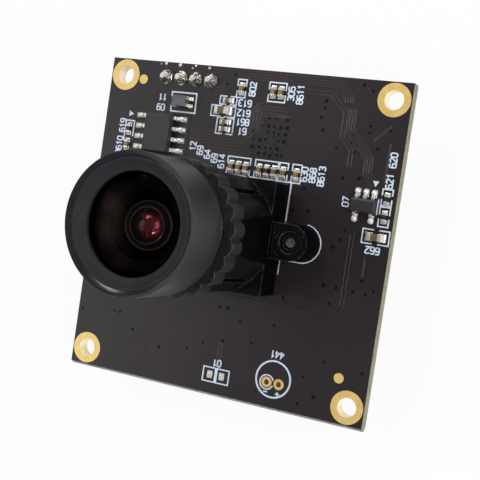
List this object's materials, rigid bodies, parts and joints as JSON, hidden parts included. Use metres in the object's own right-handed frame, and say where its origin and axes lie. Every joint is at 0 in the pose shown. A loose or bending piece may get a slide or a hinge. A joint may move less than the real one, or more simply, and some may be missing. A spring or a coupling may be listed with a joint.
{
  "type": "board camera module",
  "caption": "Square circuit board with a screwed-on lens holder, in which a wide-angle lens turns to focus and is locked by a lobed ring; a cable socket is on the back.",
  "frame": {"origin": "centre of the four corner holes, on the board's front face, where the lens axis crosses it", "axes": "+Z along the lens axis, out of the lens; +Y towards the board edge with the cable socket; +X to the right seen from the front with that edge up"},
  "size_m": [0.038, 0.0383, 0.0311],
  "materials": {
    "board": "dark brown-black solder mask, satin",
    "gold": "gold flash over copper",
    "solder": "bright solder and tin",
    "holder_plastic": "moulded black plastic, matt",
    "screw_steel": "zinc-plated steel",
    "sensor_ceramic": "sensor package",
    "clear_glass": "polished",
    "filter_glass": "coated, reddish sheen",
    "black_anodised": "satin black anodised aluminium",
    "lens_glass": "coated lens glass",
    "black_baffle": "flat black",
    "chip_plastic": "moulded epoxy",
    "crystal_can": "nickel-plated can",
    "choke_ferrite": "grey ferrite",
    "capacitor_ceramic": "tan ceramic",
    "resistor_coat": "black overcoat",
    "connector_nylon": "natural nylon"
  },
  "bodies": {
    "board": {"circuit_board": "board", "corner_hole_plating": "gold", "alignment_marks": "gold", "spare_part_lands": "gold", "solder_pads": "solder", "lens_holder": "holder_plastic", "holder_screws": "screw_steel", "image_sensor": "sensor_ceramic", "sensor_cover_glass": "clear_glass", "infrared_filter": "filter_glass", "memory_chip": "chip_plastic", "memory_chip_leads": "solder", "regulator_chip": "chip_plastic", "regulator_chip_leads": "solder", "controller_chip": "chip_plastic", "controller_contacts": "solder", "clock_crystal": "crystal_can", "data_line_choke": "choke_ferrite", "choke_terminals": "solder", "small_capacitors": "capacitor_ceramic", "small_capacitor_ends": "solder", "large_capacitors": "capacitor_ceramic", "large_capacitor_ends": "solder", "resistors": "resistor_coat", "resistor_ends": "solder", "cable_connector": "connector_nylon", "connector_pins": "gold", "pin_solder_joints": "solder"},
    "lens": {"lens_barrel": "black_anodised", "lens_front_ring": "black_anodised", "front_lens": "lens_glass", "inner_lens_cell": "black_baffle", "second_lens": "lens_glass", "aperture_stop": "black_baffle", "rear_lens": "lens_glass", "rear_retaining_ring": "black_baffle"},
    "lock_ring": {"focus_lock_ring": "black_anodised"}
  },
  "joints": [
    {"name": "lens_focus", "type": "hinge", "parent": "board", "child": "lens", "pos_m": [0, 0, 0.012], "axis": [0, 0, 1], "range_deg": [-180, 180]},
    {"name": "lock_ring_turn", "type": "hinge", "parent": "board", "child": "lock_ring", "pos_m": [0, 0, 0.0137], "axis": [0, 0, 1], "range_deg": [0, 180]}
  ]
}
